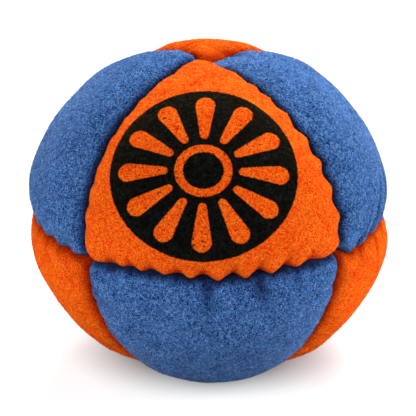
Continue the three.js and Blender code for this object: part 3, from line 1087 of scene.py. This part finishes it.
# %% [markdown]
# ## Two colours of suede
#
# The nap group only says how light each spot is. A material turns that shade into a colour
# between a dark and a light one of its own, lays the ink over it on the one panel that has a
# print, and paints shade into it down in the seams, folds and notches, where the suede lies in
# shadow. That painted shade could be an image, but the valley shade value that each point carries
# follows every fold by itself. Suede has no gloss at all, only the pale sheen of felt, and that is
# the same all over, so it is set on the shader itself.

# %% Mix the colours of the suede
def srgb(*parts):
    """A colour as the eye reads it from a screen, for a shader's socket."""
    linear = [((part / 255 + 0.055) / 1.055) ** 2.4 if part > 10 else part / 3295
              for part in parts]
    return (*linear, 1.0)


# Seam is the colour of the painted shade in seams, folds and notches, and depth how far that
# painted shade goes towards it
suede_finishes = {
    "orange": {"dark": srgb(220, 16, 0), "light": srgb(255, 143, 34), "seam": srgb(136, 2, 0),
               "tips": srgb(255, 154, 42), "sheen": srgb(255, 178, 66), "bloom": 0.23,
               "depth": 0.96},
    "blue": {"dark": srgb(1, 27, 84), "light": srgb(82, 140, 220), "seam": srgb(14, 11, 38),
             "tips": srgb(130, 182, 240), "sheen": srgb(166, 188, 232), "bloom": 0.34,
             "depth": 0.92},
}
ink_dark = srgb(0, 2, 2)
ink_light = srgb(32, 36, 36)
print_sheen = srgb(255, 210, 120)
bump_depth = 0.09 * MM
bump_strength = 0.8
felt_roughness = 0.95
sheen_roughness = 0.45
print_bloom = 0.16
nap_strengths = {"Hair": 0.3, "Grain": 2.3, "Clumps": 0.42, "Drift": 0.3, "Level": 0.3}
print("the light orange is", [round(part, 3) for part in suede_finishes["orange"]["light"]])

# %% Make the suede materials
def new_material(name):
    """A material, the shorthand for its nodes and its shader."""
    material = bpy.data.materials.new(name)
    material.use_nodes = True
    return material, Maths(material.node_tree), material.node_tree.nodes["Principled BSDF"]


def seam_shaded(maths, surface, finish):
    """The colour with painted shade in the seams, folds and notches, by the valley shade of each
    point.
    """
    valley_shade = maths.node("ShaderNodeAttribute", attribute_name="valley_shade").outputs["Fac"]
    return maths.mix(maths.do("MULTIPLY", valley_shade, finish["depth"]), surface, finish["seam"])


def inked(maths, surface, shade):
    """The colour with the print over it."""
    ink = maths.node("ShaderNodeGroup", node_tree=print_group).outputs["Ink"]
    return maths.mix(ink, surface, maths.mix(maths.do("MULTIPLY", shade, shade), ink_dark,
                                             ink_light))


def set_felt_shine(shader, finish, printed, share=1.0):
    """No gloss, and the pale sheen of felt; share is how much of that sheen is wanted."""
    shader.inputs["Roughness"].default_value = felt_roughness
    shader.inputs["Specular IOR Level"].default_value = 0
    bloom = print_bloom if printed else finish["bloom"]
    shader.inputs["Sheen Weight"].default_value = bloom * share
    shader.inputs["Sheen Roughness"].default_value = sheen_roughness
    shader.inputs["Sheen Tint"].default_value = print_sheen if printed else finish["sheen"]


def make_suede(name, colour, printed=False):
    """Suede of one colour, with the print over it where it is printed."""
    finish = suede_finishes[colour]
    material, maths, shader = new_material(name)
    nap = maths.node("ShaderNodeGroup", node_tree=nap_group)
    for label, value in nap_strengths.items():
        nap.inputs[label].default_value = value
    shade = nap.outputs["Shade"]
    surface = maths.mix(shade, finish["dark"], finish["light"])
    if printed:
        surface = inked(maths, surface, shade)
    maths.link(seam_shaded(maths, surface, finish), shader.inputs["Base Color"])
    maths.bump(shader, nap.outputs["Height"], bump_depth, bump_strength)
    set_felt_shine(shader, finish, printed)
    return material


def make_kinds(make, ending):
    """The material of each kind of panel; the one with the print is a kind of its own."""
    return {"orange": make("orange" + ending, "orange"), "blue": make("blue" + ending, "blue"),
            "printed": make("printed_orange" + ending, "orange", printed=True)}


def kind_of(name, panel):
    """The kind of suede on a panel."""
    return "printed" if name == "upper_front_panel" else panel["colour"]


suedes = make_kinds(make_suede, "_suede")
print("suedes:", sorted(suedes))

# %% Dress the panels
for name, panel in panels.items():
    piece = panel["piece"]
    piece.data.materials.append(suedes[kind_of(name, panel)])
    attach(piece, "root")
    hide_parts(name)
    print(piece.name, "is of", kind_of(name, panel), "suede")

# %% [markdown]
# ## The fibres that stand up
#
# Noise alone looks flat at the edge of the bag, where real nap shows as a faint fuzz. So short
# ribbons are grown over every panel: each is two small faces long, arched and curled a little,
# lies nearly flat and points its own way. Hair particles would do the same, but they aren't a
# mesh. Geometry Nodes scatter the ribbons, skip the depths of the seams, and give every ribbon a
# tone of its own. Afterwards each ribbon gets its own cell in a texture map, so that a baker can
# paint them all.

# %% Shape one fibre
fibre_length = 0.46 * MM
fibre_width = 0.055 * MM
fibre_arch = 0.07 * MM
fibre_curl = 0.12 * MM
fibre_parts = 2
fibre_taper = 0.6
fibre_bend = 0.85


class Growth(Maths):
    """Shorthand for a Geometry Nodes tree."""

    def made(self, kind, inputs, output=0, **settings):
        """One output of a new node with its inputs linked or set."""
        node = self.node(kind, **settings)
        for key, value in inputs.items():
            self.link(value, node.inputs[key])
        return node.outputs[output]


def curved_ribbon(growth, sizes):
    """One fibre along X, rooted at the origin, arched upwards and curled to the side."""
    grid = growth.made("GeometryNodeMeshGrid", {
        "Size X": sizes["Length"], "Size Y": sizes["Width"],
        "Vertices X": fibre_parts + 1, "Vertices Y": 2})
    parts = growth.node("ShaderNodeSeparateXYZ")
    growth.link(growth.made("GeometryNodeInputPosition", {}), parts.inputs[0])
    along = growth.do("ADD", growth.do("DIVIDE", parts.outputs["X"], sizes["Length"]), 0.5)
    swing = growth.do("SINE", growth.do("MULTIPLY", along, fibre_bend * math.pi))
    narrow = growth.do("MULTIPLY_ADD", along, -fibre_taper, 1.0)
    narrow = growth.do("MULTIPLY", parts.outputs["Y"], narrow)
    place = growth.made("ShaderNodeCombineXYZ", {
        "X": growth.do("MULTIPLY", along, sizes["Length"]),
        "Y": growth.do("MULTIPLY_ADD", swing, sizes["Curl"], narrow),
        "Z": growth.do("MULTIPLY", swing, sizes["Arch"])})
    return growth.made("GeometryNodeSetPosition", {"Geometry": grid, "Position": place})


print("a fibre is about", round(fibre_length / MM, 2), "mm long")

# %% Build the tree that grows fibres
fibre_tilt = 0.22
fibre_side_tilt = 0.2
fibre_scales = (0.55, 1.3)
bald_depth = 0.7


def make_growth_tree():
    """Scatters points, gives each a tone and a turn, and sets a ribbon on it."""
    tree = bpy.data.node_groups.new("grow_fibres", "GeometryNodeTree")
    face = tree.interface
    face.new_socket("Geometry", in_out="INPUT", socket_type="NodeSocketGeometry")
    for label in ("Density", "Length", "Width", "Arch", "Curl", "Tilt"):
        face.new_socket(label, in_out="INPUT", socket_type="NodeSocketFloat")
    face.new_socket("Seed", in_out="INPUT", socket_type="NodeSocketInt")
    face.new_socket("Material", in_out="INPUT", socket_type="NodeSocketMaterial")
    face.new_socket("Geometry", in_out="OUTPUT", socket_type="NodeSocketGeometry")
    sizes = tree.nodes.new("NodeGroupInput").outputs
    growth = Growth(tree)
    # The painted valley shade also marks where seams are deep: no fibres grow there, and they grow
    # shorter towards it
    valley_shade = growth.made("GeometryNodeInputNamedAttribute", {"Name": "valley_shade"},
                         output="Attribute", data_type="FLOAT")
    scatter = growth.node("GeometryNodeDistributePointsOnFaces")
    for label, value in (("Mesh", sizes["Geometry"]), ("Density", sizes["Density"]),
                         ("Selection", growth.do("LESS_THAN", valley_shade, bald_depth)),
                         ("Seed", sizes["Seed"])):
        growth.link(value, scatter.inputs[label])
    tone = growth.made("FunctionNodeRandomValue", {"Seed": 1}, output=1, data_type="FLOAT")
    toned = growth.made("GeometryNodeStoreNamedAttribute", {
        "Geometry": scatter.outputs["Points"], "Name": "tone", "Value": tone}, data_type="FLOAT")
    turn = growth.node("FunctionNodeRandomValue", data_type="FLOAT_VECTOR")
    growth.link(growth.made("ShaderNodeCombineXYZ", {
        "X": growth.do("MULTIPLY", sizes["Tilt"], -1.0),
        "Y": growth.do("MULTIPLY", sizes["Tilt"], -1.0)}), turn.inputs[0])
    growth.link(growth.made("ShaderNodeCombineXYZ", {
        "X": sizes["Tilt"], "Y": growth.do("MULTIPLY", sizes["Tilt"], fibre_side_tilt),
        "Z": math.tau}), turn.inputs[1])
    growth.link(2, turn.inputs["Seed"])
    facing = growth.made("FunctionNodeRotateRotation", {
        "Rotation": scatter.outputs["Rotation"], "Rotate By": turn.outputs[0]},
        rotation_space="LOCAL")
    scale = growth.made("FunctionNodeRandomValue", {2: fibre_scales[0], 3: fibre_scales[1],
                                                    "Seed": 3}, output=1, data_type="FLOAT")
    shorter = growth.do("MULTIPLY", scale, growth.do("SUBTRACT", 1.0, valley_shade))
    grown = growth.made("GeometryNodeInstanceOnPoints", {
        "Points": toned, "Instance": curved_ribbon(growth, sizes), "Rotation": facing,
        "Scale": shorter})
    whole = growth.made("GeometryNodeRealizeInstances", {"Geometry": grown})
    dressed = growth.made("GeometryNodeSetMaterial", {
        "Geometry": whole, "Material": sizes["Material"]})
    outlet = tree.nodes.new("NodeGroupOutput")
    growth.link(dressed, outlet.inputs["Geometry"])
    return tree


growth_tree = make_growth_tree()
growth_inputs = {item.name: item.identifier for item in growth_tree.interface.items_tree
                 if item.in_out == "INPUT"}
print("growth tree:", len(growth_tree.nodes), "nodes, inputs", sorted(growth_inputs))

# %% Make the fibre materials
tone_power = 1.5
tone_gain = 1.25
tone_drift = 0.4
fibre_sheen_share = 0.2


def make_fibres(name, colour, printed=False):
    """Fibres of one colour, each with a tone of its own, inked where they stand on the print."""
    finish = suede_finishes[colour]
    material, maths, shader = new_material(name)
    tone = maths.node("ShaderNodeAttribute", attribute_name="tone").outputs["Fac"]
    drift = maths.noise(place_on_object(maths), drift_size, detail=2.0)
    bright = maths.do("MULTIPLY", maths.do("POWER", tone, tone_power), tone_gain)
    shade = maths.do("MULTIPLY_ADD", maths.do("SUBTRACT", drift, 0.5), tone_drift, bright)
    surface = maths.mix(shade, finish["dark"], finish["tips"])
    if printed:
        surface = inked(maths, surface, shade)
    maths.link(seam_shaded(maths, surface, finish), shader.inputs["Base Color"])
    set_felt_shine(shader, finish, printed, share=fibre_sheen_share)
    return material


fibres = make_kinds(make_fibres, "_fibres")
print("fibres:", sorted(fibres))

# %% Grow fibres on every panel
fibre_count = 25000
cell_margins = (0.15, 0.2)


def map_fibres(mesh):
    """Gives each fibre a cell of its own in a square map."""
    corners_each = 2 * (fibre_parts + 1)
    used = np.empty(len(mesh.loops), dtype=np.int32)
    mesh.loops.foreach_get("vertex_index", used)
    fibre, corner = np.divmod(used, corners_each)
    along, side = np.divmod(corner, 2)
    rows = math.ceil(math.sqrt(len(mesh.vertices) / corners_each))
    low, high = cell_margins
    across = (fibre % rows + low + (1 - 2 * low) * along / fibre_parts) / rows
    upward = (fibre // rows + high + (1 - 2 * high) * side) / rows
    layer = mesh.uv_layers.new(name="OFBake")
    layer.data.foreach_set("uv", np.stack([across, upward], axis=1).astype(np.float32).ravel())


def grow(name, panel, material, seed):
    """A mesh object with the fibres of one panel."""
    ground = add_object(name, panel["mesh"])
    area = sum(polygon.area for polygon in panel["mesh"].polygons)
    growing = ground.modifiers.new("fibres", "NODES")
    growing.node_group = growth_tree
    values = {"Density": fibre_count / area, "Length": fibre_length, "Width": fibre_width,
              "Arch": fibre_arch, "Curl": fibre_curl, "Tilt": fibre_tilt, "Seed": seed,
              "Material": material}
    for label, value in values.items():
        growing[growth_inputs[label]] = value
    mesh = applied_mesh(ground)
    points = read_points(mesh)
    points[:, 2] = np.maximum(0, points[:, 2])
    write_points(mesh, points)
    map_fibres(mesh)
    mesh.shade_smooth()
    return add_object(name, mesh)


for number, (name, panel) in enumerate(panels.items()):
    piece = grow(name.replace("_panel", "_nap"), panel, fibres[kind_of(name, panel)], number)
    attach(piece, "root")
    print(piece.name, len(piece.data.polygons) // fibre_parts, "fibres",
          [attribute.name for attribute in piece.data.attributes])

# %% [markdown]
# ## What the bag holds
#
# The thread of each seam and the pellets stay as the solids give them, since no one sees them
# until the bag is opened. They still get their real finishes: a waxed thread twisted from three
# plies, and a heap of little plastic pellets.

# %% Finish the threads and the fill
ply_width = 0.35 * MM
ply_waver = 0.6
wave_turn = 20  # radians of wave that a Wave Texture runs through over one unit of its scale
pellet_size = 2.4 * MM
pellet_rims = (0.2, 0.7)
# Painted shade in the grooves between the plies, then the plies' own colour
thread_groove_shade = srgb(14, 18, 30)
thread_light = srgb(44, 52, 74)
thread_roughness = 0.5
# The pellets' own colour, then the painted shade in the gaps between them
pellet_pale = srgb(216, 212, 200)
pellet_gap_shade = srgb(120, 114, 100)
pellet_roughness = 0.45


def make_thread_material():
    """Twisted plies, with painted shade in the grooves between them."""
    material, maths, shader = new_material("sewing_thread")
    plies = maths.node("ShaderNodeTexWave", bands_direction="DIAGONAL")
    maths.link(place_on_object(maths), plies.inputs["Vector"])
    plies.inputs["Scale"].default_value = math.tau / ply_width / wave_turn
    plies.inputs["Distortion"].default_value = ply_waver
    maths.link(maths.mix(plies.outputs["Fac"], thread_groove_shade, thread_light),
               shader.inputs["Base Color"])
    maths.bump(shader, plies.outputs["Fac"], ply_width / 4)
    shader.inputs["Roughness"].default_value = thread_roughness
    return material


def make_pellet_material():
    """Pale grains, with painted shade towards the gaps between them, which lie lower too."""
    material, maths, shader = new_material("pellets")
    grains = maths.node("ShaderNodeTexVoronoi")
    maths.link(place_on_object(maths), grains.inputs["Vector"])
    grains.inputs["Scale"].default_value = 1 / pellet_size
    depth = maths.smooth(grains.outputs["Distance"], *pellet_rims)
    maths.link(maths.mix(depth, pellet_pale, pellet_gap_shade), shader.inputs["Base Color"])
    maths.bump(shader, grains.outputs["Distance"], pellet_size / 3, invert=True)
    shader.inputs["Roughness"].default_value = pellet_roughness
    return material


inner_materials = {"thread": make_thread_material(), "fill": make_pellet_material()}
for name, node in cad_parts.items():
    material = inner_materials.get(name.split("_")[-1])
    if material:
        node.data.materials.clear()
        node.data.materials.append(material)
print("finished:", sorted(inner_materials))

# %% [markdown]
# ## Floor and light
#
# The photograph is a product shot on white, in a bright room with soft lamps behind and to both
# sides, which leave the front of the bag a little darker than its edges. The floor keeps the
# bag's soft shadow and turns to plain white elsewhere: part of its brightness comes from the
# lamps, and part is only there for the camera. That second part is a painted shadow: it is low
# in an oval under the bag and grows outwards, so that the shadow thins out as in the photograph.
# The lamps are large and near a plain level, so that a colour renders about as it is written.

# %% Make the floor
floor_half_width = 3.0
floor_drop = 0.02 * MM
floor_bounce = 0.78
floor_shown = 0.27
# The floor's glow for the camera: low inside the painted shadow under the bag, full far out
glow_in_painted_shadow = 0.05
glow_far = 0.855
# The oval of the painted shadow: where it is full, where it has faded out, how far it sits to the
# side and how it is scaled front to back
shadow_core = 7.7 * MM
shadow_end = 25.7 * MM
shadow_aside = 1.0 * MM
shadow_depth = 0.75


def make_floor():
    """A wide white sheet that glows for the camera, save for a painted shadow under the bag."""
    mesh = bpy.data.meshes.new("floor")
    sides = (-floor_half_width, floor_half_width)
    mesh.from_pydata([(x, y, 0) for y in sides for x in sides], [], [(0, 1, 3, 2)])
    floor = add_object("floor", mesh)
    floor.location.z = -floor_drop
    material, maths, shader = new_material("white_floor")
    shader.inputs["Roughness"].default_value = 1
    shader.inputs["Specular IOR Level"].default_value = 0
    rays = maths.node("ShaderNodeLightPath").outputs
    shown = maths.do("MAXIMUM", rays["Is Camera Ray"],
                     maths.do("MAXIMUM", rays["Is Glossy Ray"], rays["Is Transmission Ray"]))
    maths.link(maths.mix(shown, (*[floor_bounce] * 3, 1), (*[floor_shown] * 3, 1)),
               shader.inputs["Base Color"])
    shader.inputs["Emission Color"].default_value = (1, 1, 1, 1)
    oval = maths.node("ShaderNodeMapping", vector_type="TEXTURE")
    maths.link(place_on_object(maths), oval.inputs["Vector"])
    oval.inputs["Location"].default_value = (shadow_aside, 0, 0)
    oval.inputs["Scale"].default_value = (1, shadow_depth, 1)
    span = maths.node("ShaderNodeVectorMath", operation="LENGTH")
    maths.link(oval.outputs["Vector"], span.inputs[0])
    painted_shadow_fade = maths.smooth(span.outputs["Value"], shadow_core, shadow_end)
    floor_glow_with_painted_shadow = maths.do("MULTIPLY_ADD", painted_shadow_fade, glow_far - glow_in_painted_shadow, glow_in_painted_shadow)
    maths.link(maths.do("MULTIPLY", shown, floor_glow_with_painted_shadow), shader.inputs["Emission Strength"])
    mesh.materials.append(material)
    floor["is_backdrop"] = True


make_floor()

# %% Light the bag
world_level = 0.25
# Name, place, size and power of each lamp
lamps = [
    ("behind", (0.09, 0.49, 0.6), 0.5, 9.4),
    ("right", (0.7, -0.1, 0.35), 0.4, 5.0),
    ("left", (-0.66, -0.36, 0.4), 0.5, 4.2),
]


def make_world(level):
    """Plain white all round at the level, and at full strength where the camera sees it."""
    world = bpy.data.worlds.new("studio")
    world.use_nodes = True
    maths = Maths(world.node_tree)
    background = world.node_tree.nodes["Background"]
    background.inputs["Color"].default_value = (1, 1, 1, 1)
    rays = maths.node("ShaderNodeLightPath")
    shown = maths.do("MAXIMUM", rays.outputs["Is Camera Ray"], rays.outputs["Is Transmission Ray"])
    maths.link(maths.do("MULTIPLY_ADD", shown, 1 - level, level), background.inputs["Strength"])
    bpy.context.scene.world = world


def add_lamp(name, place, size, power):
    """A round soft lamp that faces the middle of the bag."""
    lamp = add_object(name, bpy.data.lights.new(name, "AREA"))
    lamp.data.shape = "DISK"
    lamp.data.size = size
    lamp.data.energy = power
    lamp.location = place
    aim = Vector((0, 0, rest_depth)) - Vector(place)
    lamp.rotation_euler = aim.to_track_quat("-Z", "Y").to_euler()


make_world(world_level)
for lamp in lamps:
    add_lamp(*lamp)
print("lamps:", [name for name, *_ in lamps])
bpy.context.scene.view_settings.view_transform = "Standard"

# %% [markdown]
# ## Measuring up
#
# The visible bag may stand a little proud of the solids, as cloth does, but not much. The two
# boxes are printed next to each other.

# %% Print the boxes
visual_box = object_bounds()
for label, (low, high) in (("solids", cad_box), ("visual", visual_box)):
    print(label, [round(value / MM, 2) for value in (*low, *high)], "mm")
